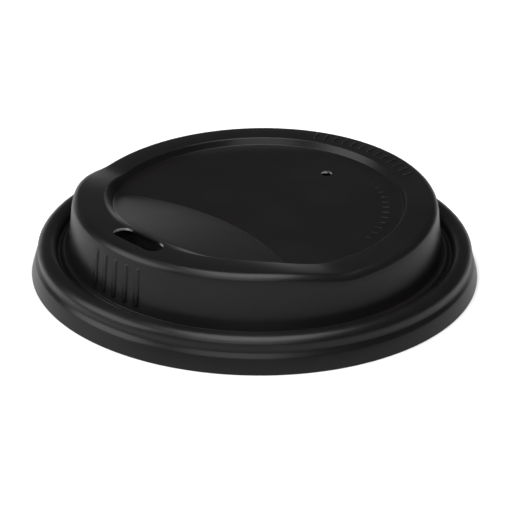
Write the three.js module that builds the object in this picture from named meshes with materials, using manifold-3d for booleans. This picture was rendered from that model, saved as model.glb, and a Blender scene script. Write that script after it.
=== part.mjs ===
// A black sip-through lid for a takeaway coffee cup, thermoformed from one sheet of plastic.
// Millimetres, +Z up. The lid stands on its skirt: the origin is the middle of the bottom edge,
// the sip hole is on the -Y side and the vent hole on the +Y side.
import * as THREE from 'three';
import { mergeVertices } from 'three/addons/utils/BufferGeometryUtils.js';
import Module from 'manifold-3d';

const wasm = await Module();
wasm.setup();

// Sheet
const WALL = 0.5;

// Skirt, which flares down to the edge that the lid stands on
const SKIRT_RADIUS = 46.5;
const SHOULDER_RADIUS = 45.6;
const SHOULDER_HEIGHT = 3.1;
const SNAP_GROOVE_RADIUS = 44.4;
const SNAP_GROOVE_HEIGHT = 3.9;

// Bead, which snaps over the rolled rim of the cup and has a level seat for it inside
const BEAD_RADIUS = 43;
const BEAD_TOP = 7;
const BEAD_ROUND = 1.6;
const SEAT_WIDTH = 0.8;

// Gutter between the bead and the dome, and a low ledge at the foot of the dome wall
const GUTTER_FLOOR = 4.5;
const GUTTER_WIDTH = 0.5;
const LEDGE_RADIUS = 39.9;
const LEDGE_TOP = 5.3;
const LEDGE_WIDTH = 0.6;
const FOOT_RADIUS = 38.9;
const FOOT_HEIGHT = 4.8;

// Dome wall and its rim, whose top is a plane that rises away from the sip hole
const RIM_RADIUS = 37.5;
const RIM_HEIGHT = 14.75;
const RIM_RISE = 0.046;
const RIM_ROUND = 1.2;

// Recess inside the rim
const RECESS_RADIUS = 31;
const RECESS_DEPTH = 1.5;
const RECESS_DRAFT = 0.6;

// Mouthpiece: the rim climbs to a level stretch round the sip hole
const MOUTH_HEIGHT = 16.3;
const MOUTH_REACH = 21.5;
const MOUTH_FALL = 0.19;

// Ramp that leads up from a curved crest line on the recess floor to the mouthpiece
const FOLD_RADIUS = 29.2;
const FOLD_SINK = 0.06;
const FOLD_LAP = 0.4;
const CREST_RADIUS = 56;
const CREST_REACH = 9.1;
const CREST_STEP = 0.3;
const CREST_ROUND = 0.6;

// Sip hole and vent hole
const SIP_REACH = 32.3;
const SIP_LENGTH = 12.6;
const SIP_WIDTH = 4.1;
const VENT_DIAMETER = 2.4;
const VENT_REACH = 21.4;

// Upright grip ribs on the wall under the sip hole
const RIB_COUNT = 5;
const RIB_PITCH = 3.05;
const RIB_WIDTH = 1.2;
const RIB_PROUD = 0.4;
const RIB_TOP_GAP = 2.2;
const RIB_FOOT_GAP = 1.2;

// Fineness of the facets
const AROUND = 72;
const EDGE_STEPS = 3;
const BEAD_STEPS = 4;
const HOLE_FACETS = 16;
const RIB_FACETS = 8;

// How far a cutter runs past what it cuts
const SPARE = 4;

// Heights over the plan, with y away from the sip hole

function levelTop(y) {
  return RIM_HEIGHT + RIM_RISE * y;
}

function floorTop(y) {
  return levelTop(y) - RECESS_DEPTH;
}

function rimTop(y) {
  const climb = MOUTH_HEIGHT - MOUTH_FALL * Math.max(0, y + MOUTH_REACH);
  return Math.max(levelTop(y), climb);
}

// 0 where the rim is level, 1 on the mouthpiece
function mouthShare(y) {
  return (rimTop(y) - levelTop(y)) / (MOUTH_HEIGHT - levelTop(y));
}

const CREST_CENTRE = -CREST_REACH - CREST_RADIUS;
const RAMP_RUN = FOLD_RADIUS - CREST_REACH - CREST_ROUND;
const RAMP_SLOPE = (MOUTH_HEIGHT - floorTop(-FOLD_RADIUS) - CREST_STEP) / RAMP_RUN;

function rampTop(x, y) {
  const past = CREST_RADIUS - CREST_ROUND - Math.hypot(x, y - CREST_CENTRE);
  if (past < 0) return floorTop(y);
  return Math.min(MOUTH_HEIGHT, floorTop(y) + CREST_STEP + past * RAMP_SLOPE);
}

// Section of the lid, as rings from the bottom edge to the centre. What a ring follows says how it moves
// with the tilted and raised top: base rings stay where they are.

function arcRings(centreR, centreZ, radius, from, to, steps, follows) {
  const rings = [];
  for (let i = 0; i <= steps; i++) {
    const angle = THREE.MathUtils.degToRad(THREE.MathUtils.lerp(from, to, i / steps));
    rings.push({ r: centreR + radius * Math.cos(angle), z: centreZ + radius * Math.sin(angle), follows });
  }
  return rings;
}

function sectionRings() {
  const beadMiddle = BEAD_TOP - BEAD_ROUND;
  const beadInside = BEAD_RADIUS - SEAT_WIDTH / 2 - BEAD_ROUND;
  const floorHeight = RIM_HEIGHT - RECESS_DEPTH;
  return [
    { r: SKIRT_RADIUS, z: 0, follows: 'base' },
    { r: SHOULDER_RADIUS, z: SHOULDER_HEIGHT, follows: 'base' },
    { r: SNAP_GROOVE_RADIUS, z: SNAP_GROOVE_HEIGHT, follows: 'base' },
    ...arcRings(BEAD_RADIUS + SEAT_WIDTH / 2, beadMiddle, BEAD_ROUND, 0, 90, BEAD_STEPS, 'base'),
    ...arcRings(BEAD_RADIUS - SEAT_WIDTH / 2, beadMiddle, BEAD_ROUND, 90, 180, BEAD_STEPS, 'base'),
    { r: beadInside, z: GUTTER_FLOOR, follows: 'base' },
    { r: beadInside - GUTTER_WIDTH, z: GUTTER_FLOOR, follows: 'base' },
    { r: LEDGE_RADIUS, z: LEDGE_TOP, follows: 'base' },
    { r: LEDGE_RADIUS - LEDGE_WIDTH, z: LEDGE_TOP, follows: 'base' },
    { r: FOOT_RADIUS, z: FOOT_HEIGHT, follows: 'base' },
    ...arcRings(RIM_RADIUS - RIM_ROUND, RIM_HEIGHT - RIM_ROUND, RIM_ROUND, 0, 90, EDGE_STEPS, 'rim'),
    { r: RECESS_RADIUS, z: RIM_HEIGHT, follows: 'rim' },
    { r: RECESS_RADIUS - RECESS_DRAFT, z: floorHeight, follows: 'fold' },
    { r: RECESS_RADIUS - RECESS_DRAFT - FOLD_LAP, z: floorHeight, follows: 'floor' },
    { r: 0, z: floorHeight, follows: 'floor' },
  ];
}

// Moves each ring inwards by the sheet's thickness, square to the section.
function insetRings(rings, inset) {
  const normals = rings.slice(1).map((ring, i) => {
    const along = new THREE.Vector2(ring.r - rings[i].r, ring.z - rings[i].z).normalize();
    return new THREE.Vector2(-along.y, along.x);
  });
  return rings.map((ring, i) => {
    const before = normals[Math.max(0, i - 1)];
    const after = normals[Math.min(normals.length - 1, i)];
    const reach = inset / (1 + before.dot(after));
    const r = i === rings.length - 1 ? 0 : ring.r + (before.x + after.x) * reach;
    const z = i === 0 ? 0 : ring.z + (before.y + after.y) * reach;
    return { r, z, follows: ring.follows, inset };
  });
}

// Raises one ring's vertex to the top that it follows. At the mouthpiece the recess wall leans further in,
// and its foot lies just under the ramp.
function settle(vertex, ring) {
  if (ring.follows === 'base') return;
  if (ring.follows === 'rim') {
    vertex.z += rimTop(vertex.y) - RIM_HEIGHT;
    return;
  }
  if (ring.r > 0) {
    const inwards = (RECESS_RADIUS - RECESS_DRAFT - FOLD_RADIUS) * mouthShare(vertex.y);
    vertex.x *= 1 - inwards / ring.r;
    vertex.y *= 1 - inwards / ring.r;
  }
  const outside = ring.r > 0 ? 1 - ring.inset / ring.r : 1;
  const { x, y } = vertex;
  const floor = floorTop(y * outside);
  if (ring.follows === 'floor') vertex.z = floor - ring.inset;
  else vertex.z = Math.max(floor, rampTop(x * outside, y * outside) - FOLD_SINK) - ring.inset;
}

// Meshes and solids

function solid(geometry) {
  geometry.deleteAttribute('normal');
  geometry.deleteAttribute('uv');
  const merged = mergeVertices(geometry, 1e-5);
  const vertProperties = new Float32Array(merged.attributes.position.array);
  const triVerts = new Uint32Array(merged.index.array);
  return new wasm.Manifold(new wasm.Mesh({ numProp: 3, vertProperties, triVerts }));
}

function turned(points, segments) {
  const outline = points.map(([r, z]) => new THREE.Vector2(r, z));
  return new THREE.LatheGeometry(outline, segments).rotateX(Math.PI / 2);
}

function post(radius, bottom, top, segments) {
  const geometry = new THREE.CylinderGeometry(radius, radius, top - bottom, segments);
  return geometry.rotateX(Math.PI / 2).translate(0, 0, (top + bottom) / 2);
}

// Body of revolution, with its top raised and tilted.
function dome(inset) {
  const rings = insetRings(sectionRings(), inset);
  const bottom = inset > 0 ? -SPARE : 0;
  const lead = inset > 0 ? [[0, bottom], [rings[0].r, bottom]] : [[0, bottom]];
  const geometry = turned([...lead, ...rings.map((ring) => [ring.r, ring.z])], AROUND);
  const position = geometry.attributes.position;
  const vertex = new THREE.Vector3();
  const perTurn = lead.length + rings.length;
  for (let i = 0; i < position.count; i++) {
    const ring = rings[i % perTurn - lead.length];
    if (!ring) continue;
    vertex.fromBufferAttribute(position, i);
    settle(vertex, ring);
    position.setXYZ(i, vertex.x, vertex.y, vertex.z);
  }
  return solid(geometry);
}

// Ramp, as a shallow cone round a point beyond the sip hole, trimmed to the recess.
function ramp(inset) {
  const overshoot = CREST_RADIUS / 2;
  const high = CREST_STEP + (CREST_RADIUS - CREST_ROUND - overshoot) * RAMP_SLOPE;
  const geometry = turned([
    [0, -SPARE],
    [CREST_RADIUS, -SPARE],
    [CREST_RADIUS, 0],
    [CREST_RADIUS - CREST_ROUND, CREST_STEP],
    [overshoot, high],
    [0, high],
  ], 2 * AROUND);
  geometry.translate(0, CREST_CENTRE, 0);
  const position = geometry.attributes.position;
  for (let i = 0; i < position.count; i++) {
    position.setZ(i, position.getZ(i) + floorTop(position.getY(i)) - inset);
  }
  const trim = post(RECESS_RADIUS, FOOT_HEIGHT, MOUTH_HEIGHT - inset, AROUND);
  return solid(geometry).intersect(solid(trim));
}

function filled(inset) {
  return dome(inset).add(ramp(inset));
}

// Openings and ribs

// Slot with round ends that follows the rim.
function sipHole() {
  const half = SIP_WIDTH / 2;
  const turn = (SIP_LENGTH / 2 - half) / SIP_REACH;
  const endX = SIP_REACH * Math.cos(turn);
  const endY = SIP_REACH * Math.sin(turn);
  const shape = new THREE.Shape();
  shape.absarc(0, 0, SIP_REACH + half, -turn, turn, false);
  shape.absarc(endX, endY, half, turn, turn + Math.PI, false);
  shape.absarc(0, 0, SIP_REACH - half, turn, -turn, true);
  shape.absarc(endX, -endY, half, Math.PI - turn, 2 * Math.PI - turn, false);
  const settings = { depth: 2 * SPARE, bevelEnabled: false, curveSegments: HOLE_FACETS / 2 };
  const geometry = new THREE.ExtrudeGeometry(shape, settings);
  return solid(geometry.rotateZ(-Math.PI / 2).translate(0, 0, MOUTH_HEIGHT - SPARE));
}

function ventHole() {
  const top = floorTop(VENT_REACH);
  const geometry = post(VENT_DIAMETER / 2, top - SPARE, top + SPARE, HOLE_FACETS);
  return solid(geometry.translate(0, VENT_REACH, 0));
}

// One rib lies half sunk along the sloping wall, turned about the lid's axis to its place.
function rib(place) {
  const wallTop = MOUTH_HEIGHT - RIM_ROUND;
  const lean = Math.atan((FOOT_RADIUS - RIM_RADIUS) / (wallTop - FOOT_HEIGHT));
  const low = FOOT_HEIGHT + RIB_FOOT_GAP + RIB_WIDTH / 2;
  const high = MOUTH_HEIGHT - RIB_TOP_GAP - RIB_WIDTH / 2;
  const middle = (low + high) / 2;
  const wallRadius = FOOT_RADIUS - (middle - FOOT_HEIGHT) * Math.tan(lean);
  const length = (high - low) / Math.cos(lean);
  const geometry = new THREE.CapsuleGeometry(RIB_WIDTH / 2, length, EDGE_STEPS, RIB_FACETS);
  geometry.rotateX(Math.PI / 2);
  geometry.rotateX(-lean);
  geometry.translate(0, -(wallRadius + RIB_PROUD - RIB_WIDTH / 2), middle);
  geometry.rotateZ(place * RIB_PITCH / FOOT_RADIUS);
  return solid(geometry);
}

function ribs() {
  const places = Array.from({ length: RIB_COUNT }, (_, i) => i - (RIB_COUNT - 1) / 2);
  return places.map(rib);
}

function lid() {
  let body = filled(0);
  for (const each of ribs()) body = body.add(each);
  return body.subtract(filled(WALL)).subtract(sipHole()).subtract(ventHole());
}

// Scene

const blackPlastic = new THREE.MeshStandardMaterial({ color: 0x1b1a1b, roughness: 0.45, metalness: 0 });

function named(name, shape, material) {
  const { numProp, vertProperties, triVerts } = shape.getMesh();
  const geometry = new THREE.BufferGeometry();
  geometry.setAttribute('position', new THREE.BufferAttribute(vertProperties, numProp));
  geometry.setIndex(new THREE.BufferAttribute(triVerts, 1));
  geometry.computeVertexNormals();
  const mesh = new THREE.Mesh(geometry, material);
  mesh.name = name;
  return mesh;
}

const group = new THREE.Group();
group.add(named('lid', lid(), blackPlastic));

export default group;
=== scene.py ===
import json
import math
from collections import Counter

import bpy
from bpy.props import FloatProperty, FloatVectorProperty, IntProperty, PointerProperty
from mathutils import Matrix, Vector


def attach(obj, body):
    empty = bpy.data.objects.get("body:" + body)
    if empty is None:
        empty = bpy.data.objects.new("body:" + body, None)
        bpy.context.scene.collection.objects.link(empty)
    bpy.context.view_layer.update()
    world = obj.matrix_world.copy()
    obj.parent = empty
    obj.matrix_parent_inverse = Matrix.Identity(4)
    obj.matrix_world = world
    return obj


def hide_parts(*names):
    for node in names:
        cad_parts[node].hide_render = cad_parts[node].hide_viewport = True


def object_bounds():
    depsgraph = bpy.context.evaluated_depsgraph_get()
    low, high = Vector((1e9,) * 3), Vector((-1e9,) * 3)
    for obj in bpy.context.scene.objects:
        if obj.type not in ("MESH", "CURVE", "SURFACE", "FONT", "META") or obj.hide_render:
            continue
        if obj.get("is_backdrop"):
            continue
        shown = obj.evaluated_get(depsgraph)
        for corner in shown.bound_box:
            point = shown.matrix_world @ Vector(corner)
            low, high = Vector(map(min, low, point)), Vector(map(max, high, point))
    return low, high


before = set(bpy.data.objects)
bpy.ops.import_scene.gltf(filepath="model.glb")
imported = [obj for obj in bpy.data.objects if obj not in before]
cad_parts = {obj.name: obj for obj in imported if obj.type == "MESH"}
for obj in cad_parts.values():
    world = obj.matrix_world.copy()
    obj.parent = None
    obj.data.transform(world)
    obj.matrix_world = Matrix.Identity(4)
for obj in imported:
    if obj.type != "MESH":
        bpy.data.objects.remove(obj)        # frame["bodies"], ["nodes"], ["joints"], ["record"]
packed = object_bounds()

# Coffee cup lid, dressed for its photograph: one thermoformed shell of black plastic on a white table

bl_info = {
    "name": "Coffee cup lid",
    "version": (1, 0, 0),
    "blender": (4, 5, 0),
    "location": "3D View > Sidebar > Lid",
    "description": "Models the shell of a takeaway cup lid and its studio",
    "category": "Add Mesh",
}

MM = 0.001
SHELL_NAME = "lid_shell"

# Points closer than this become one: where a floor meets its rings, where two skins meet, and within a tool
FLOOR_SEAM = 0.002 * MM
SKIN_SEAM = 0.0005 * MM
TOOL_SEAM = 0.0001 * MM

# Roundings of the section, and the share of the shorter side beside a corner that one may take up
SKIRT_EDGE_ROUND = 0.12 * MM
SHOULDER_ROUND = 1.5 * MM
GROOVE_ROUND = 1.0 * MM
GUTTER_ROUND = 0.2 * MM
LEDGE_ROUND = 0.25 * MM
FOOT_ROUND = 0.2 * MM
BAND_ROUND = 0.4 * MM
RECESS_EDGE_ROUND = 0.3 * MM
RECESS_FOOT_ROUND = 0.2 * MM
LEAST_ROUND = 0.05 * MM
CORNER_SHARE = 0.495

# How softly the mouthpiece begins to fall, and how softly it meets the level rim
FALL_BLEND = 4 * MM
RIM_BLEND = 0.5 * MM
# Width of the line at the fold, as a share of the way from the edge of the recess to its floor
FOLD_SPREAD = 0.2
# Where rows of faces lie across the step at the crest, in widths of the step
CREST_ROWS = (-1.9, -1.35, -1.0, -0.84, -0.67, -0.5, -0.33, -0.16, 0.0, 0.4, 0.9)
# Rows of the floor over which they turn from the crest's curve to the edge of the recess
TURNING_ROWS = 8
# Rounds that the search for a radius and the search for an angle take
RADIUS_ROUNDS = 12
ANGLE_ROUNDS = 40

# The cutters: how far the slot's starts below the mouthpiece, its spare length, and the vent's length
SLOT_CUT_BELOW = 4 * MM
SLOT_CUT_SPARE = 5 * MM
VENT_CUT = 4 * MM
# A hole's reach from its middle, as a share of its size, with a little to spare
HOLE_SHARE = 0.51
# A face of a hole's wall leans less than this
UPRIGHT = 0.4

# The ends of a rib: their share of its half width, and the faces along them and round it
RIB_END_SHARE = 0.97
RIB_END_STEPS = 7
RIB_FACETS = 32

# The plain bars: length, width and height, angles from the sip hole in degrees, and how far in they lie
RIM_BAR = (2.3 * MM, 0.55 * MM, 0.16 * MM)
RIM_BAR_ANGLES = range(154, 204, 4)
RIM_BAR_INSET = 0.3 * MM
RECESS_BAR = (1.5 * MM, 0.4 * MM, 0.1 * MM)
RECESS_BAR_ANGLES = range(102, 172, 5)
RECESS_BAR_INSET = 4 * MM
# Width of a bar's bevel, as a share of its height
BAR_BEVEL = 0.9

# Edges that bend less than this are shaded smooth
SMOOTH_ANGLE = math.radians(38)
# Share of the fine grain in the height of the sheet's texture
GRAIN_SHARE = 0.06
# The side of the room that is brightest, as a direction from the lid
BRIGHT_SIDE = (-0.82, 0.57, 0.0)
# The table's side, where its lift begins and is full past the lid's edge, and where it is for reflections
TABLE_SIDE = 6.0
LIFT_BEGINS = -1 * MM
LIFT_FULL = 2 * MM
REFLECTED_LIFT_FULL = 0.5


class LidSizes(bpy.types.PropertyGroup):
    """The sizes of the lid. The sip hole is towards -Y and the vent towards +Y."""

    wall: FloatProperty(name="Wall", description="Thickness of the sheet",
                        default=0.5 * MM, unit="LENGTH", precision=5)
    skirt_radius: FloatProperty(name="Skirt radius", description="Outside of the skirt at the table",
                                default=packed[1][0], unit="LENGTH", precision=5)
    shoulder_radius: FloatProperty(name="Shoulder radius", description="Top of the skirt",
                                   default=45.6 * MM, unit="LENGTH", precision=5)
    shoulder_height: FloatProperty(name="Shoulder height", description="Height of the top of the skirt",
                                   default=3.1 * MM, unit="LENGTH", precision=5)
    groove_radius: FloatProperty(name="Snap groove radius", description="Groove under the bead",
                                 default=44.8 * MM, unit="LENGTH", precision=5)
    groove_height: FloatProperty(name="Snap groove height", description="Height of that groove",
                                 default=4.2 * MM, unit="LENGTH", precision=5)
    bead_outside: FloatProperty(name="Bead outside", description="Largest radius of the bead",
                                default=45.2 * MM, unit="LENGTH", precision=5)
    bead_inside: FloatProperty(name="Bead inside", description="Smallest radius of the bead",
                               default=41.0 * MM, unit="LENGTH", precision=5)
    bead_top: FloatProperty(name="Bead top", description="Height of the bead",
                            default=7.0 * MM, unit="LENGTH", precision=5)
    bead_round: FloatProperty(name="Bead round", description="Radius of the bead's outer side",
                              default=2.2 * MM, unit="LENGTH", precision=5)
    gutter_floor: FloatProperty(name="Gutter floor", description="Height of the gutter inside the bead",
                                default=4.5 * MM, unit="LENGTH", precision=5)
    gutter_radius: FloatProperty(name="Gutter radius", description="Inner edge of the gutter",
                                 default=40.5 * MM, unit="LENGTH", precision=5)
    ledge_outside: FloatProperty(name="Ledge outside", description="Outer edge of the gutter's inner ledge",
                                 default=39.9 * MM, unit="LENGTH", precision=5)
    ledge_inside: FloatProperty(name="Ledge inside", description="Inner edge of that ledge",
                                default=39.3 * MM, unit="LENGTH", precision=5)
    ledge_top: FloatProperty(name="Ledge top", description="Height of the ledge",
                             default=5.3 * MM, unit="LENGTH", precision=5)
    foot_radius: FloatProperty(name="Foot radius", description="Foot of the dome's wall",
                               default=38.9 * MM, unit="LENGTH", precision=5)
    foot_height: FloatProperty(name="Foot height", description="Height of the foot of the wall",
                               default=4.8 * MM, unit="LENGTH", precision=5)
    rim_radius: FloatProperty(name="Rim radius", description="Outside of the rim",
                              default=37.5 * MM, unit="LENGTH", precision=5)
    rim_height: FloatProperty(name="Rim height", description="Height of the rim at the middle of the lid",
                              default=14.75 * MM, unit="LENGTH", precision=5)
    rim_rise: FloatProperty(name="Rim rise", description="Rise per length, away from the sip hole",
                            default=0.046, precision=4)
    band_height: FloatProperty(name="Rim band", description="Height of the band round the top of the wall",
                               default=2.2 * MM, unit="LENGTH", precision=5)
    band_inset: FloatProperty(name="Rim band inset", description="How far that band is set in",
                              default=0.16 * MM, unit="LENGTH", precision=5)
    rim_round: FloatProperty(name="Rim round", description="Radius of the rim's outer edge",
                             default=1.6 * MM, unit="LENGTH", precision=5)
    recess_radius: FloatProperty(name="Recess radius", description="Edge of the recess in the top",
                                 default=31.0 * MM, unit="LENGTH", precision=5)
    recess_depth: FloatProperty(name="Recess depth", description="Depth of the recess",
                                default=1.5 * MM, unit="LENGTH", precision=5)
    recess_draft: FloatProperty(name="Recess draft", description="How far the wall of the recess leans in",
                                default=0.6 * MM, unit="LENGTH", precision=5)
    recess_lap: FloatProperty(name="Recess lap", description="Flat floor kept inside that wall",
                              default=0.4 * MM, unit="LENGTH", precision=5)
    mouth_height: FloatProperty(name="Mouth height", description="Height of the mouthpiece",
                                default=16.3 * MM, unit="LENGTH", precision=5)
    mouth_reach: FloatProperty(name="Mouth reach", description="Where the mouthpiece begins to fall",
                               default=21.5 * MM, unit="LENGTH", precision=5)
    mouth_fall: FloatProperty(name="Mouth fall", description="Fall of the rim per length from there",
                              default=0.19, precision=4)
    fold_radius: FloatProperty(name="Fold radius", description="Fold between mouthpiece and ramp",
                               default=29.2 * MM, unit="LENGTH", precision=5)
    fold_sink: FloatProperty(name="Fold sink", description="Depth of the line at the fold",
                             default=0.03 * MM, unit="LENGTH", precision=5)
    crest_radius: FloatProperty(name="Crest radius", description="Radius of the ramp's crest from above",
                                default=56.0 * MM, unit="LENGTH", precision=5)
    crest_reach: FloatProperty(name="Crest reach", description="Distance of the crest from the middle",
                               default=9.1 * MM, unit="LENGTH", precision=5)
    crest_step: FloatProperty(name="Crest step", description="Height of the step at the crest",
                              default=0.3 * MM, unit="LENGTH", precision=5)
    crest_round: FloatProperty(name="Crest round", description="Width of that step",
                               default=0.6 * MM, unit="LENGTH", precision=5)
    sip_reach: FloatProperty(name="Sip hole reach", description="Distance of the sip hole from the middle",
                             default=32.3 * MM, unit="LENGTH", precision=5)
    sip_length: FloatProperty(name="Sip hole length", description="Length of the sip hole",
                              default=12.6 * MM, unit="LENGTH", precision=5)
    sip_width: FloatProperty(name="Sip hole width", description="Width of the sip hole",
                             default=4.1 * MM, unit="LENGTH", precision=5)
    vent_diameter: FloatProperty(name="Vent diameter", description="Diameter of the vent",
                                 default=2.4 * MM, unit="LENGTH", precision=5)
    vent_reach: FloatProperty(name="Vent reach", description="Distance of the vent from the middle",
                              default=21.4 * MM, unit="LENGTH", precision=5)
    rib_count: IntProperty(name="Ribs", description="Ribs in the wall under the sip hole", default=5)
    rib_pitch: FloatProperty(name="Rib pitch", description="Distance between ribs",
                             default=3.05 * MM, unit="LENGTH", precision=5)
    rib_width: FloatProperty(name="Rib width", description="Width of a rib",
                             default=1.2 * MM, unit="LENGTH", precision=5)
    rib_proud: FloatProperty(name="Rib height", description="How far a rib stands out",
                             default=0.4 * MM, unit="LENGTH", precision=5)
    rib_top_gap: FloatProperty(name="Rib top gap", description="Wall above a rib",
                               default=2.2 * MM, unit="LENGTH", precision=5)
    rib_foot_gap: FloatProperty(name="Rib foot gap", description="Wall below a rib",
                                default=1.2 * MM, unit="LENGTH", precision=5)
    cap_columns: IntProperty(name="Columns", description="Columns of faces across the top", default=24)
    cap_angle: FloatProperty(name="Cap angle", description="Half the angle that the columns take",
                             default=math.radians(14), subtype="ANGLE")
    spoke_angle: FloatProperty(name="Spoke angle", description="Angle between the rows of faces",
                               default=math.radians(1.45), subtype="ANGLE")
    arc_steps: IntProperty(name="Arc steps", description="Faces round a corner of the section", default=5)
    hole_facets: IntProperty(name="Hole facets", description="Faces round a hole", default=64)


class LidColours(bpy.types.PropertyGroup):
    """The colours and finish of the lid and of its studio."""

    plastic: FloatVectorProperty(name="Plastic", description="Colour of the sheet", subtype="COLOR", size=4,
                                 default=(0.0058, 0.0051, 0.0056, 1.0), min=0.0, max=1.0)
    plastic_worn: FloatVectorProperty(name="Plastic, paler", description="Colour of the thinner places",
                                      subtype="COLOR", size=4, default=(0.0076, 0.0068, 0.0074, 1.0),
                                      min=0.0, max=1.0)
    gloss: FloatProperty(name="Roughness, smooth", description="Roughness of smooth places", default=0.29)
    satin: FloatProperty(name="Roughness, satin", description="Roughness of dull places", default=0.34)
    shine: FloatProperty(name="Shine", description="Specular level of the plastic", default=0.27)
    # This pale grey is a painted highlight: it stands for the glint on the upright walls of the holes
    cut: FloatVectorProperty(name="Cut edge", description="Colour of the whitened edge of a punched hole",
                             subtype="COLOR", size=4, default=(0.42, 0.42, 0.42, 1.0), min=0.0, max=1.0)
    table: FloatVectorProperty(name="Table", description="Colour of the table", subtype="COLOR", size=4,
                               default=(0.64, 0.64, 0.64, 1.0), min=0.0, max=1.0)
    room: FloatProperty(name="Room", description="Strength of the light from above", default=0.065)
    horizon: FloatProperty(name="Horizon", description="Strength of the light low behind it", default=1.35)
    top_lamp: FloatProperty(name="Top lamp", description="Power of the softbox overhead",
                            default=8.0, unit="POWER")
    left_lamp: FloatProperty(name="Left lamp", description="Power of the softbox at the front left",
                             default=4.2, unit="POWER")
    right_lamp: FloatProperty(name="Right lamp", description="Power of the softbox at the front right",
                              default=3.2, unit="POWER")
    lift: FloatProperty(name="Lift", description="How much whiter the table looks than it is", default=0.62)


def active_only(piece):
    """Deselects everything and then selects this piece alone."""
    bpy.ops.object.select_all(action="DESELECT")
    piece.select_set(True)
    bpy.context.view_layer.objects.active = piece


def open_edges(piece):
    """How many edges of a piece don't lie between two faces."""
    uses = Counter(edge for face in piece.data.polygons for edge in face.edge_keys)
    return sum(count != 2 for count in uses.values())


def soft_max(one, other, blend):
    """The larger of two heights, with the bend between them eased over a small difference."""
    near = max(0.0, blend - abs(one - other)) / blend
    return max(one, other) + near * near * blend / 4


class Top:
    """The heights of the top: rim, recess, mouthpiece and ramp."""

    def __init__(self, sizes):
        self.sizes = sizes
        self.crest_centre = -sizes.crest_reach - sizes.crest_radius
        run = sizes.fold_radius - sizes.crest_reach - sizes.crest_round
        rise = sizes.mouth_height - self.floor(-sizes.fold_radius) - sizes.crest_step
        self.ramp_slope = rise / run

    def level(self, y):
        """Height of the rim away from the mouthpiece."""
        return self.sizes.rim_height + self.sizes.rim_rise * y

    def floor(self, y):
        """Height of the floor of the recess away from the ramp."""
        return self.level(y) - self.sizes.recess_depth

    def rim(self, y):
        """Height of the rim, with the mouthpiece."""
        sizes = self.sizes
        fall = sizes.mouth_fall * soft_max(0.0, y + sizes.mouth_reach, FALL_BLEND)
        return soft_max(self.level(y), sizes.mouth_height - fall, RIM_BLEND)

    def mouth_share(self, y):
        """0 where the rim is level and 1 where it is as high as the mouthpiece."""
        return (self.rim(y) - self.level(y)) / (self.sizes.mouth_height - self.level(y))

    def surface(self, x, y):
        """Height of the floor of the recess and of the ramp that rises from it."""
        sizes = self.sizes
        past = sizes.crest_radius - math.hypot(x, y - self.crest_centre)
        step = min(1.0, max(0.0, past / sizes.crest_round))
        rise = sizes.crest_step * step * step * (3 - 2 * step)
        ramp = max(0.0, past - sizes.crest_round) * self.ramp_slope
        return min(sizes.mouth_height, self.floor(y) + rise + ramp)

    def edge_radius(self, y):
        """Radius at which the floor of the recess begins, which is further in at the mouthpiece."""
        sizes = self.sizes
        plain = sizes.recess_draft + sizes.recess_lap
        at_mouth = (sizes.recess_radius - sizes.fold_radius) * plain / sizes.recess_draft
        return sizes.recess_radius - plain - (at_mouth - plain) * self.mouth_share(y)

    def edge_point(self, angle):
        """The place of that edge at an angle from the sip hole."""
        radius = self.sizes.recess_radius
        for _ in range(RADIUS_ROUNDS):
            radius = self.edge_radius(-radius * math.cos(angle))
        return Vector((radius * math.sin(angle), -radius * math.cos(angle)))


def row_angles(sizes, top):
    """The angles of the rows on one side of the lid, closer together at the ends of the crest."""
    def reach(angle):
        """Distance of the edge of the recess from the crest's centre."""
        point = top.edge_point(angle)
        return math.hypot(point.x, point.y - top.crest_centre)

    def angle_at(radius):
        """The angle at which that distance is this radius, found by halving."""
        low, high = sizes.cap_angle, math.pi / 2
        for _ in range(ANGLE_ROUNDS):
            middle = (low + high) / 2
            low, high = (middle, high) if reach(middle) < radius else (low, middle)
        return low

    crest = [angle_at(sizes.crest_radius + share * sizes.crest_round) for share in CREST_ROWS]
    first, last = sizes.cap_angle, math.pi - sizes.cap_angle
    before = round((crest[0] - first) / sizes.spoke_angle)
    after = round((last - crest[-1]) / sizes.spoke_angle)
    rows = [first + (crest[0] - first) * step / before for step in range(before)]
    rows += crest
    rows += [crest[-1] + (last - crest[-1]) * step / after for step in range(1, after + 1)]
    return rows


def spoke_angles(sizes, rows):
    """The angles of every point round a ring, from the sip hole, in order."""
    columns = sizes.cap_columns
    near = [rows[0] * (2 * step / columns - 1) for step in range(1, columns)]
    far_half = math.pi - rows[-1]
    far = [math.pi + far_half * (2 * step / columns - 1) for step in range(1, columns)]
    return near + rows + far + [2 * math.pi - row for row in reversed(rows)]


def arc_corners(radius, height, size, start, count, zone):
    """Corners round a quarter circle of this size, from an angle in degrees, each rounded to the circle."""
    half = math.radians(45 / count)
    reach = size / math.cos(half)
    corners = []
    for place in range(count):
        angle = math.radians(start) + (2 * place + 1) * half
        corners.append((radius + reach * math.cos(angle), height + reach * math.sin(angle), size, zone))
    return corners


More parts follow.
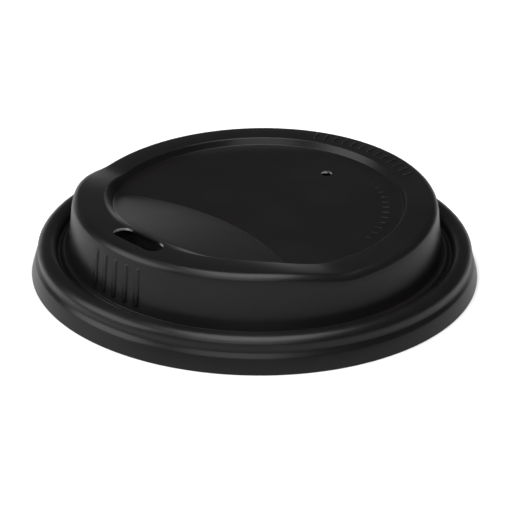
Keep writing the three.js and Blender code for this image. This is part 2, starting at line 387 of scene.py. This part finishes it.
def outer_corners(sizes):
    """The corners of the section, from the table to the recess: radius, height, rounding and zone."""
    lean = (sizes.foot_radius - sizes.rim_radius) / (sizes.rim_height - sizes.rim_round - sizes.foot_height)
    bead_middle = sizes.bead_outside - sizes.bead_round
    bead_inner_round = bead_middle - sizes.bead_inside
    band = sizes.rim_height - sizes.band_height
    band_radius = sizes.foot_radius - lean * (band - sizes.foot_height)
    rim_middle = sizes.rim_radius - sizes.rim_round
    recess_foot = sizes.recess_radius - sizes.recess_draft
    recess_floor = sizes.rim_height - sizes.recess_depth
    return [
        (sizes.skirt_radius, 0.0, SKIRT_EDGE_ROUND, "still"),
        (sizes.shoulder_radius, sizes.shoulder_height, SHOULDER_ROUND, "still"),
        (sizes.groove_radius, sizes.groove_height, GROOVE_ROUND, "still"),
        *arc_corners(bead_middle, sizes.bead_top - sizes.bead_round, sizes.bead_round,
                     start=0, count=3, zone="still"),
        *arc_corners(bead_middle, sizes.bead_top - bead_inner_round, bead_inner_round,
                     start=90, count=2, zone="still"),
        (sizes.bead_inside, sizes.gutter_floor, GUTTER_ROUND, "still"),
        (sizes.gutter_radius, sizes.gutter_floor, GUTTER_ROUND, "still"),
        (sizes.ledge_outside, sizes.ledge_top, LEDGE_ROUND, "still"),
        (sizes.ledge_inside, sizes.ledge_top, LEDGE_ROUND, "still"),
        (sizes.foot_radius, sizes.foot_height, FOOT_ROUND, "still"),
        (band_radius + sizes.band_inset, band, BAND_ROUND, "rim"),
        *arc_corners(rim_middle, sizes.rim_height - sizes.rim_round, sizes.rim_round,
                     start=0, count=2, zone="rim"),
        (sizes.recess_radius, sizes.rim_height, RECESS_EDGE_ROUND, "recess"),
        (recess_foot, recess_floor, RECESS_FOOT_ROUND, "recess"),
        (recess_foot - sizes.recess_lap, recess_floor, 0.0, "recess"),
    ]


def inner_corners(corners, wall):
    """The same corners, one wall thickness inside the sheet."""
    inside = []
    for place, (radius, height, rounding, zone) in enumerate(corners):
        here = Vector((radius, height))
        before = here - Vector(corners[place - 1][:2]) if place else None
        after = Vector(corners[place + 1][:2]) - here if place + 1 < len(corners) else None
        ways = [way.normalized() for way in (before, after) if way is not None]
        out = [Vector((way.y, -way.x)) for way in ways]
        if len(out) == 2:
            moved = here - wall * (out[0] + out[1]) / (1 + out[0].dot(out[1]))
            outward = ways[0].x * ways[1].y - ways[0].y * ways[1].x > 0
            rounding = max(rounding - wall, LEAST_ROUND) if outward else rounding + wall
        elif place == 0:
            moved = here - Vector((wall / out[0].x, 0))
        else:
            moved = here - wall * out[0]
        inside.append((moved.x, moved.y, rounding, zone))
    return inside


def rounded(corners, steps):
    """The section's points, with an arc at each corner that has a rounding."""
    points = []
    for place, (radius, height, rounding, zone) in enumerate(corners):
        here = Vector((radius, height))
        if rounding == 0.0 or place in (0, len(corners) - 1):
            points.append((radius, height, zone))
            continue
        back = Vector(corners[place - 1][:2]) - here
        ahead = Vector(corners[place + 1][:2]) - here
        half = back.angle(ahead) / 2
        reach = min(rounding / math.tan(half), CORNER_SHARE * min(back.length, ahead.length))
        size = reach * math.tan(half)
        centre = here + (back.normalized() + ahead.normalized()).normalized() * (size / math.sin(half))
        start = here + back.normalized() * reach - centre
        turn = math.pi - 2 * half
        side = 1 if back.x * ahead.y - back.y * ahead.x < 0 else -1
        for step in range(steps + 1):
            angle = side * turn * step / steps
            spoke = Matrix.Rotation(angle, 2) @ start
            points.append((centre.x + spoke.x, centre.y + spoke.y, zone))
    return points


def settle(sizes, top, radius, height, zone, angle, depth):
    """Where a point of the section goes, so that the top tilts and the mouthpiece rises."""
    if zone == "still":
        return Vector((radius * math.sin(angle), -radius * math.cos(angle), height))
    if zone == "rim":
        y = -radius * math.cos(angle)
        return Vector((radius * math.sin(angle), y, height + top.rim(y) - sizes.rim_height))
    plain = sizes.recess_draft + sizes.recess_lap
    inward = max(0.0, (sizes.recess_radius - radius) / plain)
    down = min(1.0, max(0.0, (sizes.rim_height - depth - height) / sizes.recess_depth))
    if inward > 0.0:
        edge = top.edge_point(angle).length
        radius = sizes.recess_radius - inward * (sizes.recess_radius - edge)
    x, y = radius * math.sin(angle), -radius * math.cos(angle)
    high, low = top.rim(y), top.surface(x, y)
    fold = sizes.recess_draft / plain
    sink = sizes.fold_sink * top.mouth_share(y) * max(0.0, 1 - abs(inward - fold) / FOLD_SPREAD)
    return Vector((x, y, high - down * (high - low) - sink - depth))


def ring_skin(sizes, top, name, corners, spokes, depth):
    """One skin up to the recess: a circle pulled up ring by ring, then settled to the top's shape."""
    section = rounded(corners, sizes.arc_steps)
    radius, height, _ = section[0]
    bpy.ops.mesh.primitive_circle_add(vertices=len(spokes), radius=radius, location=(0, 0, 0))
    piece = bpy.context.object
    piece.name = piece.data.name = name
    for point, angle in zip(piece.data.vertices, spokes):
        point.co = (radius * math.sin(angle), -radius * math.cos(angle), height)
    bpy.ops.object.mode_set(mode="EDIT")
    bpy.ops.mesh.select_all(action="SELECT")
    for next_radius, next_height, _ in section[1:]:
        bpy.ops.mesh.extrude_region_move(TRANSFORM_OT_translate={"value": (0, 0, next_height - height)})
        share = next_radius / radius
        bpy.ops.transform.resize(value=(share, share, 1), center_override=(0, 0, 0))
        radius, height = next_radius, next_height
    bpy.ops.object.mode_set(mode="OBJECT")
    for point in piece.data.vertices:
        reach = math.hypot(point.co.x, point.co.y)
        ring = min(section, key=lambda ring: abs(ring[0] - reach) + abs(ring[1] - point.co.z))
        angle = math.atan2(point.co.x, -point.co.y)
        point.co = settle(sizes, top, ring[0], ring[1], ring[2], angle, depth)
    return piece


def patch_point(sizes, top, rows, row, column):
    """A point of the floor: rows follow the crest, and the outermost ones the edge of the recess."""
    share = 2 * column / sizes.cap_columns - 1
    end = top.edge_point(rows[row])
    reach = math.hypot(end.x, end.y - top.crest_centre)
    turn = math.atan2(end.x, end.y - top.crest_centre) * share
    along = Vector((reach * math.sin(turn), top.crest_centre + reach * math.cos(turn)))
    near = row < len(rows) / 2
    angle = rows[row] * share if near else math.pi - (math.pi - rows[row]) * share
    edge = top.edge_point(angle)
    away = row if near else len(rows) - 1 - row
    hold = max(0.0, 1 - away / TURNING_ROWS)
    hold = hold * hold * (3 - 2 * hold)
    return along.lerp(edge, hold)


def floor_skin(sizes, top, name, rows, depth):
    """The floor of the recess and the ramp: a grid whose rows are laid along the crest."""
    columns = sizes.cap_columns
    bpy.ops.mesh.primitive_grid_add(x_subdivisions=columns, y_subdivisions=len(rows) - 1,
                                    size=2 * sizes.recess_radius, location=(0, 0, 0))
    piece = bpy.context.object
    piece.name = piece.data.name = name
    for point in piece.data.vertices:
        row, column = divmod(point.index, columns + 1)
        place = patch_point(sizes, top, rows, row, column)
        point.co = (place.x, place.y, top.surface(place.x, place.y) - depth)
    return piece


def join(pieces, gap):
    """Joins pieces into the first one and merges points that meet."""
    active_only(pieces[0])
    for piece in pieces[1:]:
        piece.select_set(True)
    bpy.ops.object.join()
    bpy.ops.object.mode_set(mode="EDIT")
    bpy.ops.mesh.select_all(action="SELECT")
    bpy.ops.mesh.remove_doubles(threshold=gap)
    bpy.ops.object.mode_set(mode="OBJECT")
    return pieces[0]


def face_outward(piece):
    """Turns every face of a closed piece outward."""
    active_only(piece)
    bpy.ops.object.mode_set(mode="EDIT")
    bpy.ops.mesh.select_all(action="SELECT")
    bpy.ops.mesh.normals_make_consistent(inside=False)
    bpy.ops.object.mode_set(mode="OBJECT")


def sheet(sizes):
    """The whole sheet: an outer and an inner skin, joined at the lower edge of the skirt."""
    top = Top(sizes)
    rows = row_angles(sizes, top)
    spokes = spoke_angles(sizes, rows)
    outside = outer_corners(sizes)
    inside = inner_corners(outside, sizes.wall)
    outside.insert(0, (inside[0][0], 0.0, 0.0, "still"))
    skins = []
    for name, corners, depth in (("outer", outside, 0.0), ("inner", inside, sizes.wall)):
        rings = ring_skin(sizes, top, name + "_rings", corners, spokes, depth)
        floor = floor_skin(sizes, top, name + "_floor", rows, depth)
        skins.append(join([rings, floor], FLOOR_SEAM))
    piece = join(skins, SKIN_SEAM)
    face_outward(piece)
    piece.name = piece.data.name = SHELL_NAME
    return piece


def sip_cutter(sizes):
    """A slot with round ends, bent round the middle of the lid."""
    straight = (sizes.sip_length - sizes.sip_width) / 2
    tall = 2 * sizes.recess_depth + SLOT_CUT_SPARE
    bpy.ops.mesh.primitive_circle_add(vertices=sizes.hole_facets, radius=sizes.sip_width / 2,
                                      fill_type="NGON", location=(0, 0, 0))
    cutter = bpy.context.object
    active_only(cutter)
    bpy.ops.object.mode_set(mode="EDIT")
    bpy.ops.mesh.select_all(action="SELECT")
    bpy.ops.mesh.extrude_region_move(TRANSFORM_OT_translate={"value": (0, 0, tall)})
    bpy.ops.object.mode_set(mode="OBJECT")
    for point in cutter.data.vertices:
        along = point.co.x + math.copysign(straight, point.co.x)
        angle = along / sizes.sip_reach
        radius = sizes.sip_reach + point.co.y
        height = point.co.z + sizes.mouth_height - SLOT_CUT_BELOW
        point.co = (radius * math.sin(angle), -radius * math.cos(angle), height)
    face_outward(cutter)
    return cutter


def vent_cutter(sizes):
    """A pin through the floor of the recess."""
    height = Top(sizes).floor(sizes.vent_reach)
    bpy.ops.mesh.primitive_cylinder_add(vertices=sizes.hole_facets // 2, radius=sizes.vent_diameter / 2,
                                        depth=VENT_CUT, location=(0, sizes.vent_reach, height))
    cutter = bpy.context.object
    bpy.ops.object.transform_apply(location=True, rotation=True, scale=True)
    return cutter


def combine(piece, tool, operation):
    """Cuts or adds a tool with a Boolean modifier, and stops if that changed nothing or left a gap."""
    before = len(piece.data.polygons)
    active_only(piece)
    modifier = piece.modifiers.new(tool.name, "BOOLEAN")
    modifier.object = tool
    modifier.operation = operation
    modifier.solver = "EXACT"
    bpy.ops.object.modifier_apply(modifier=modifier.name)
    if len(piece.data.polygons) == before or open_edges(piece):
        raise RuntimeError(f"{tool.name} did not combine with {piece.name}")
    bpy.data.objects.remove(tool)


def copy_to(piece, places):
    """Copies of a modelled piece, one at each place and each with its own mesh, instead of the piece."""
    copies = []
    for place in places:
        copy = piece.copy()
        copy.data = piece.data.copy()
        copy.data.transform(place)
        bpy.context.collection.objects.link(copy)
        copies.append(copy)
    bpy.data.objects.remove(piece)
    return copies


def ribs(sizes):
    """The ribs: bars with round ends that lie along the leaning wall."""
    rim = Top(sizes).rim(-sizes.rim_radius)
    low = sizes.foot_height + sizes.rib_foot_gap
    high = rim - sizes.rib_top_gap
    lean = (sizes.foot_radius - sizes.rim_radius) / (rim - sizes.rim_round - sizes.foot_height)
    middle = (low + high) / 2
    radius = sizes.foot_radius - lean * (middle - sizes.foot_height)
    half = sizes.rib_width / 2
    bpy.ops.mesh.primitive_cylinder_add(vertices=RIB_FACETS, radius=half, depth=high - low,
                                        location=(0, 0, 0))
    rib = bpy.context.object
    active_only(rib)
    bpy.ops.object.mode_set(mode="EDIT")
    bpy.ops.mesh.select_mode(type="EDGE")
    bpy.ops.mesh.select_all(action="DESELECT")
    bpy.ops.object.mode_set(mode="OBJECT")
    for edge in rib.data.edges:
        one, other = (rib.data.vertices[end].co.z for end in edge.vertices)
        edge.select = abs(one - other) < half
    bpy.ops.object.mode_set(mode="EDIT")
    bpy.ops.mesh.bevel(offset=half * RIB_END_SHARE, offset_type="OFFSET", segments=RIB_END_STEPS,
                       affect="EDGES")
    bpy.ops.mesh.select_all(action="SELECT")
    bpy.ops.transform.resize(value=(1, sizes.rib_proud / half, 1), center_override=(0, 0, 0))
    bpy.ops.object.mode_set(mode="OBJECT")
    places = []
    for number in range(sizes.rib_count):
        turn = (number - (sizes.rib_count - 1) / 2) * sizes.rib_pitch / sizes.foot_radius
        spot = Matrix.Rotation(turn, 4, "Z") @ Matrix.Translation((0, -radius, middle))
        places.append(spot @ Matrix.Rotation(-math.atan(lean), 4, "X"))
    return join(copy_to(rib, places), TOOL_SEAM)


def mark_painted_glint_faces(shell, sizes):
    """Gives the upright faces inside the holes the second material, whose pale colour is a painted
    highlight.
    """
    top = Top(sizes)
    for face in shell.data.polygons:
        x, y, z = face.center
        in_sheet = z > top.floor(y) - 2 * sizes.wall
        upright = abs(face.normal.z) < UPRIGHT
        near_vent = math.hypot(x, y - sizes.vent_reach) < sizes.vent_diameter * HOLE_SHARE
        near_sip = abs(math.hypot(x, y) - sizes.sip_reach) < sizes.sip_width * HOLE_SHARE
        in_slot = near_sip and y < 0 and abs(x) < sizes.sip_length * HOLE_SHARE
        if in_sheet and upright and (near_vent or in_slot):
            face.material_index = 1


def bar(length, width, proud):
    """A plain bar with bevelled edges that stands this proud, half sunk in."""
    bpy.ops.mesh.primitive_cube_add(size=1, location=(0, 0, 0))
    piece = bpy.context.object
    active_only(piece)
    bpy.ops.object.mode_set(mode="EDIT")
    bpy.ops.mesh.select_all(action="SELECT")
    bpy.ops.transform.resize(value=(width, length, 2 * proud), center_override=(0, 0, 0))
    bpy.ops.mesh.bevel(offset=BAR_BEVEL * proud, segments=3, affect="EDGES")
    bpy.ops.object.mode_set(mode="OBJECT")
    return piece


def bar_row(sizes, size, radius, angles, drop):
    """A row of plain bars round the top, this far below the level of the rim."""
    top = Top(sizes)
    tilt = Matrix.Rotation(math.atan(sizes.rim_rise), 4, "X")
    places = []
    for angle in map(math.radians, angles):
        y = -radius * math.cos(angle)
        spot = Matrix.Translation((radius * math.sin(angle), y, top.level(y) - drop))
        places.append(spot @ tilt @ Matrix.Rotation(angle, 4, "Z"))
    return copy_to(bar(*size), places)


def bars(sizes):
    """Plain raised bars: a row on the rim and a finer row inside the recess."""
    on_rim = (sizes.rim_radius + sizes.recess_radius) / 2 - RIM_BAR_INSET
    in_recess = sizes.recess_radius - RECESS_BAR_INSET
    rim_row = bar_row(sizes, RIM_BAR, on_rim, RIM_BAR_ANGLES, 0.0)
    recess_row = bar_row(sizes, RECESS_BAR, in_recess, RECESS_BAR_ANGLES, sizes.recess_depth)
    return join(rim_row + recess_row, TOOL_SEAM)


def sheet_grain():
    """A node group: the fine texture of drawn sheet, as a height."""
    group = bpy.data.node_groups.new("sheet_grain", "ShaderNodeTree")
    group.interface.new_socket("Vector", in_out="INPUT", socket_type="NodeSocketVector")
    fine = group.interface.new_socket("Fine scale", in_out="INPUT", socket_type="NodeSocketFloat")
    fine.default_value = 2600.0
    wave = group.interface.new_socket("Wave scale", in_out="INPUT", socket_type="NodeSocketFloat")
    wave.default_value = 90.0
    group.interface.new_socket("Height", in_out="OUTPUT", socket_type="NodeSocketFloat")
    nodes, links = group.nodes, group.links
    into = nodes.new("NodeGroupInput")
    out = nodes.new("NodeGroupOutput")
    grain = nodes.new("ShaderNodeTexNoise")
    grain.inputs["Detail"].default_value = 2.0
    swell = nodes.new("ShaderNodeTexNoise")
    swell.inputs["Detail"].default_value = 1.0
    mix = nodes.new("ShaderNodeMath")
    mix.operation = "MULTIPLY_ADD"
    mix.inputs[1].default_value = GRAIN_SHARE
    links.new(into.outputs["Vector"], grain.inputs["Vector"])
    links.new(into.outputs["Vector"], swell.inputs["Vector"])
    links.new(into.outputs["Fine scale"], grain.inputs["Scale"])
    links.new(into.outputs["Wave scale"], swell.inputs["Scale"])
    links.new(grain.outputs["Fac"], mix.inputs[0])
    links.new(swell.outputs["Fac"], mix.inputs[2])
    links.new(mix.outputs[0], out.inputs["Height"])
    return group


def dull_patches():
    """A node group: soft patches of duller finish, as a mask."""
    group = bpy.data.node_groups.new("dull_patches", "ShaderNodeTree")
    group.interface.new_socket("Vector", in_out="INPUT", socket_type="NodeSocketVector")
    scale = group.interface.new_socket("Scale", in_out="INPUT", socket_type="NodeSocketFloat")
    scale.default_value = 45.0
    group.interface.new_socket("Mask", in_out="OUTPUT", socket_type="NodeSocketFloat")
    nodes, links = group.nodes, group.links
    into = nodes.new("NodeGroupInput")
    out = nodes.new("NodeGroupOutput")
    broad = nodes.new("ShaderNodeTexNoise")
    broad.inputs["Detail"].default_value = 6.0
    broad.inputs["Roughness"].default_value = 0.6
    band = nodes.new("ShaderNodeMapRange")
    band.interpolation_type = "SMOOTHSTEP"
    band.inputs["From Min"].default_value = 0.35
    band.inputs["From Max"].default_value = 0.7
    links.new(into.outputs["Vector"], broad.inputs["Vector"])
    links.new(into.outputs["Scale"], broad.inputs["Scale"])
    links.new(broad.outputs["Fac"], band.inputs["Value"])
    links.new(band.outputs["Result"], out.inputs["Mask"])
    return group


def plastic(colours):
    """Black sheet with a satin skin."""
    material = bpy.data.materials.new("black_plastic")
    material.use_nodes = True
    nodes, links = material.node_tree.nodes, material.node_tree.links
    shader = nodes["Principled BSDF"]
    shader.inputs["Specular IOR Level"].default_value = colours.shine
    place = nodes.new("ShaderNodeTexCoord")
    patches = nodes.new("ShaderNodeGroup")
    patches.node_tree = dull_patches()
    grain = nodes.new("ShaderNodeGroup")
    grain.node_tree = sheet_grain()
    links.new(place.outputs["Object"], patches.inputs["Vector"])
    links.new(place.outputs["Object"], grain.inputs["Vector"])
    tint = nodes.new("ShaderNodeMix")
    tint.data_type = "RGBA"
    tint.inputs["A"].default_value = colours.plastic
    tint.inputs["B"].default_value = colours.plastic_worn
    links.new(patches.outputs["Mask"], tint.inputs["Factor"])
    links.new(tint.outputs["Result"], shader.inputs["Base Color"])
    rough = nodes.new("ShaderNodeMapRange")
    rough.inputs["To Min"].default_value = colours.gloss
    rough.inputs["To Max"].default_value = colours.satin
    links.new(patches.outputs["Mask"], rough.inputs["Value"])
    links.new(rough.outputs["Result"], shader.inputs["Roughness"])
    bump = nodes.new("ShaderNodeBump")
    bump.inputs["Strength"].default_value = 0.35
    bump.inputs["Distance"].default_value = 0.0002
    links.new(grain.outputs["Height"], bump.inputs["Height"])
    links.new(bump.outputs["Normal"], shader.inputs["Normal"])
    return material


def cut_edge(colours):
    """A pale colour painted on the walls of the holes as their highlight, paler in places."""
    material = bpy.data.materials.new("cut_edge")
    material.use_nodes = True
    nodes, links = material.node_tree.nodes, material.node_tree.links
    shader = nodes["Principled BSDF"]
    shader.inputs["Roughness"].default_value = 0.45
    place = nodes.new("ShaderNodeTexCoord")
    noise = nodes.new("ShaderNodeTexNoise")
    noise.inputs["Scale"].default_value = 900.0
    tint = nodes.new("ShaderNodeMix")
    tint.data_type = "RGBA"
    tint.inputs["A"].default_value = colours.plastic_worn
    tint.inputs["B"].default_value = colours.cut
    band = nodes.new("ShaderNodeMapRange")
    band.inputs["From Min"].default_value = 0.25
    band.inputs["From Max"].default_value = 0.55
    links.new(place.outputs["Object"], noise.inputs["Vector"])
    links.new(noise.outputs["Fac"], band.inputs["Value"])
    links.new(band.outputs["Result"], tint.inputs["Factor"])
    links.new(tint.outputs["Result"], shader.inputs["Base Color"])
    return material


def table_finish(colours, lid_radius):
    """White table: the camera and reflections see it as white, save under the lid, with its shadow kept."""
    material = bpy.data.materials.new("table_white")
    material.use_nodes = True
    nodes, links = material.node_tree.nodes, material.node_tree.links
    shader = nodes["Principled BSDF"]
    shader.inputs["Base Color"].default_value = colours.table
    shader.inputs["Roughness"].default_value = 0.9
    shader.inputs["Specular IOR Level"].default_value = 0.0
    shader.inputs["Emission Color"].default_value = (1.0, 1.0, 1.0, 1.0)
    rays = nodes.new("ShaderNodeLightPath")
    place = nodes.new("ShaderNodeTexCoord")
    reach = nodes.new("ShaderNodeVectorMath")
    reach.operation = "LENGTH"
    links.new(place.outputs["Object"], reach.inputs[0])

    def from_here(start, end, *kinds):
        """Lift for one or two kinds of ray, growing from one distance to another."""
        fade = nodes.new("ShaderNodeMapRange")
        fade.interpolation_type = "SMOOTHSTEP"
        fade.inputs["From Min"].default_value = start
        fade.inputs["From Max"].default_value = end
        fade.inputs["To Max"].default_value = colours.lift
        kind = nodes.new("ShaderNodeMath")
        kind.operation = "MAXIMUM"
        share = nodes.new("ShaderNodeMath")
        share.operation = "MULTIPLY"
        links.new(reach.outputs["Value"], fade.inputs["Value"])
        links.new(rays.outputs[kinds[0]], kind.inputs[0])
        links.new(rays.outputs[kinds[-1]], kind.inputs[1])
        links.new(kind.outputs[0], share.inputs[0])
        links.new(fade.outputs["Result"], share.inputs[1])
        return share.outputs[0]

    total = nodes.new("ShaderNodeMath")
    total.operation = "MAXIMUM"
    seen = from_here(lid_radius + LIFT_BEGINS, lid_radius + LIFT_FULL, "Is Camera Ray")
    reflected = from_here(lid_radius, REFLECTED_LIFT_FULL, "Is Glossy Ray", "Is Transmission Ray")
    links.new(seen, total.inputs[0])
    links.new(reflected, total.inputs[1])
    links.new(total.outputs[0], shader.inputs["Emission Strength"])
    return material


def softbox(name, power, size, place, aim):
    """A square area lamp that faces a point."""
    bpy.ops.object.light_add(type="AREA", location=place)
    lamp = bpy.context.object
    lamp.name = lamp.data.name = name
    lamp.data.energy = power
    lamp.data.shape = "SQUARE"
    lamp.data.size = size
    lamp.rotation_euler = (Vector(aim) - Vector(place)).to_track_quat("-Z", "Y").to_euler()


def room(colours):
    """The world: white, bright low on one side and dim above."""
    world = bpy.data.worlds.new("room")
    world.use_nodes = True
    nodes, links = world.node_tree.nodes, world.node_tree.links
    sky = nodes["Background"]
    sky.inputs["Color"].default_value = (1.0, 1.0, 1.0, 1.0)
    way = nodes.new("ShaderNodeTexCoord")
    split = nodes.new("ShaderNodeSeparateXYZ")
    fade = nodes.new("ShaderNodeMapRange")
    fade.interpolation_type = "SMOOTHSTEP"
    fade.inputs["From Max"].default_value = 0.18
    fade.inputs["To Min"].default_value = 1.0
    fade.inputs["To Max"].default_value = 0.0
    behind = nodes.new("ShaderNodeVectorMath")
    behind.operation = "DOT_PRODUCT"
    behind.inputs[1].default_value = BRIGHT_SIDE
    spread = nodes.new("ShaderNodeMapRange")
    spread.interpolation_type = "SMOOTHSTEP"
    spread.inputs["From Min"].default_value = 0.84
    spread.inputs["From Max"].default_value = 0.98
    spread.inputs["To Min"].default_value = 0.12
    glow = nodes.new("ShaderNodeMath")
    glow.operation = "MULTIPLY"
    total = nodes.new("ShaderNodeMath")
    total.operation = "MULTIPLY_ADD"
    total.inputs[1].default_value = colours.horizon
    total.inputs[2].default_value = colours.room
    links.new(way.outputs["Generated"], split.inputs["Vector"])
    links.new(way.outputs["Generated"], behind.inputs[0])
    links.new(split.outputs["Z"], fade.inputs["Value"])
    links.new(behind.outputs["Value"], spread.inputs["Value"])
    links.new(fade.outputs["Result"], glow.inputs[0])
    links.new(spread.outputs["Result"], glow.inputs[1])
    links.new(glow.outputs[0], total.inputs[0])
    links.new(total.outputs[0], sky.inputs["Strength"])
    return world


def camera():
    """The camera of the photograph, fitted to the lid's outlines."""
    # The focal length and the picture's width in pixels, and the sensor's width in millimetres
    focal = 1700.0
    picture = 512.0
    sensor = 36.0
    distance = 0.35715
    target = Vector((-0.000316, 0.000669, 0.001401))
    right = Vector((0.7071, 0.7071, 0.0)).normalized()
    back = Vector((0.6332, -0.6332, 0.4451)).normalized()
    roll = math.radians(0.733)
    up = back.cross(right)
    across = right * math.cos(roll) + up * math.sin(roll)
    upward = back.cross(across)
    bpy.ops.object.camera_add(location=target + back * distance)
    view = bpy.context.object
    view.name = "photo_camera"
    view.data.sensor_fit = "HORIZONTAL"
    view.data.sensor_width = sensor
    view.data.lens = focal / picture * sensor
    view.data.clip_start = 0.01
    view.data.clip_end = 20.0
    view.rotation_euler = Matrix((across, upward, back)).transposed().to_euler()
    bpy.context.scene.camera = view


class LID_OT_shell(bpy.types.Operator):
    """Models the sheet of the lid, with both skins and the lower edge"""
    bl_idname = "lid.shell"
    bl_label = "Shell"

    def execute(self, context):
        if open_edges(sheet(context.scene.lid_sizes)):
            raise RuntimeError("the sheet is not closed")
        return {"FINISHED"}


class LID_OT_ribs(bpy.types.Operator):
    """Adds the ribs in the wall under the sip hole"""
    bl_idname = "lid.ribs"
    bl_label = "Ribs"

    def execute(self, context):
        combine(bpy.data.objects[SHELL_NAME], ribs(context.scene.lid_sizes), "UNION")
        return {"FINISHED"}


class LID_OT_bars(bpy.types.Operator):
    """Adds the rows of plain raised bars on the top"""
    bl_idname = "lid.bars"
    bl_label = "Raised bars"

    def execute(self, context):
        combine(bpy.data.objects[SHELL_NAME], bars(context.scene.lid_sizes), "UNION")
        return {"FINISHED"}


class LID_OT_openings(bpy.types.Operator):
    """Cuts the sip hole and the vent"""
    bl_idname = "lid.openings"
    bl_label = "Openings"

    def execute(self, context):
        sizes = context.scene.lid_sizes
        shell = bpy.data.objects[SHELL_NAME]
        for cutter in (sip_cutter(sizes), vent_cutter(sizes)):
            combine(shell, cutter, "DIFFERENCE")
        return {"FINISHED"}


class LID_OT_finish(bpy.types.Operator):
    """Smooths the shell, gives it its plastic and ties it to the part"""
    bl_idname = "lid.finish"
    bl_label = "Finish"

    def execute(self, context):
        shell = bpy.data.objects[SHELL_NAME]
        active_only(shell)
        bpy.ops.object.shade_smooth_by_angle(angle=SMOOTH_ANGLE)
        shell.data.materials.clear()
        shell.data.materials.append(plastic(context.scene.lid_colours))
        # The second material paints a highlight on the upright walls of the holes
        shell.data.materials.append(cut_edge(context.scene.lid_colours))
        mark_painted_glint_faces(shell, context.scene.lid_sizes)
        if not any(face.material_index for face in shell.data.polygons):
            raise RuntimeError("the holes have no cut edges")
        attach(shell, "root")
        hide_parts("lid")
        return {"FINISHED"}


class LID_OT_stage(bpy.types.Operator):
    """Sets the table, the lamps, the room and the camera"""
    bl_idname = "lid.stage"
    bl_label = "Stage"

    def execute(self, context):
        colours = context.scene.lid_colours
        bpy.ops.mesh.primitive_plane_add(size=TABLE_SIDE, location=(0, 0, 0))
        table = bpy.context.object
        table.name = table.data.name = "table"
        table.data.materials.append(table_finish(colours, context.scene.lid_sizes.skirt_radius))
        table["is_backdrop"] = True
        softbox("softbox_top", colours.top_lamp, size=0.7, place=(0.12, -0.12, 0.9), aim=(0, 0, 0))
        softbox("softbox_left", colours.left_lamp, size=0.6, place=(-0.42, -0.62, 0.42), aim=(0, 0, 0.01))
        softbox("softbox_right", colours.right_lamp, size=0.7, place=(0.38, -0.52, 0.58), aim=(0, 0, 0.01))
        context.scene.world = room(colours)
        context.scene.view_settings.view_transform = "Standard"
        camera()
        if context.scene.camera is None:
            raise RuntimeError("the scene has no camera")
        return {"FINISHED"}


class LID_PT_panel(bpy.types.Panel):
    """The steps of the lid, in order"""
    bl_idname = "LID_PT_panel"
    bl_label = "Coffee cup lid"
    bl_space_type = "VIEW_3D"
    bl_region_type = "UI"
    bl_category = "Lid"

    def draw(self, context):
        for step in STEPS:
            self.layout.operator(step.bl_idname)


STEPS = (LID_OT_shell, LID_OT_ribs, LID_OT_bars, LID_OT_openings, LID_OT_finish, LID_OT_stage)
CLASSES = (LidSizes, LidColours) + STEPS + (LID_PT_panel,)


def register():
    """Registers the classes and gives the scene its sizes and colours."""
    for item in CLASSES:
        bpy.utils.register_class(item)
    bpy.types.Scene.lid_sizes = PointerProperty(type=LidSizes)
    bpy.types.Scene.lid_colours = PointerProperty(type=LidColours)


def unregister():
    """Takes the sizes, the colours and the classes away again."""
    del bpy.types.Scene.lid_colours
    del bpy.types.Scene.lid_sizes
    for item in reversed(CLASSES):
        bpy.utils.unregister_class(item)


def plain(bounds):
    return json.loads(json.dumps(bounds, default=list))


def main():
    """Builds the lid and its stage."""
    register()
    bpy.ops.lid.shell()
    bpy.ops.lid.ribs()
    bpy.ops.lid.bars()
    bpy.ops.lid.openings()
    bpy.ops.lid.finish()
    bpy.ops.lid.stage()
    {"packed": plain(packed), "dressed": plain(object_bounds())}


if __name__ == "__main__":
    main()
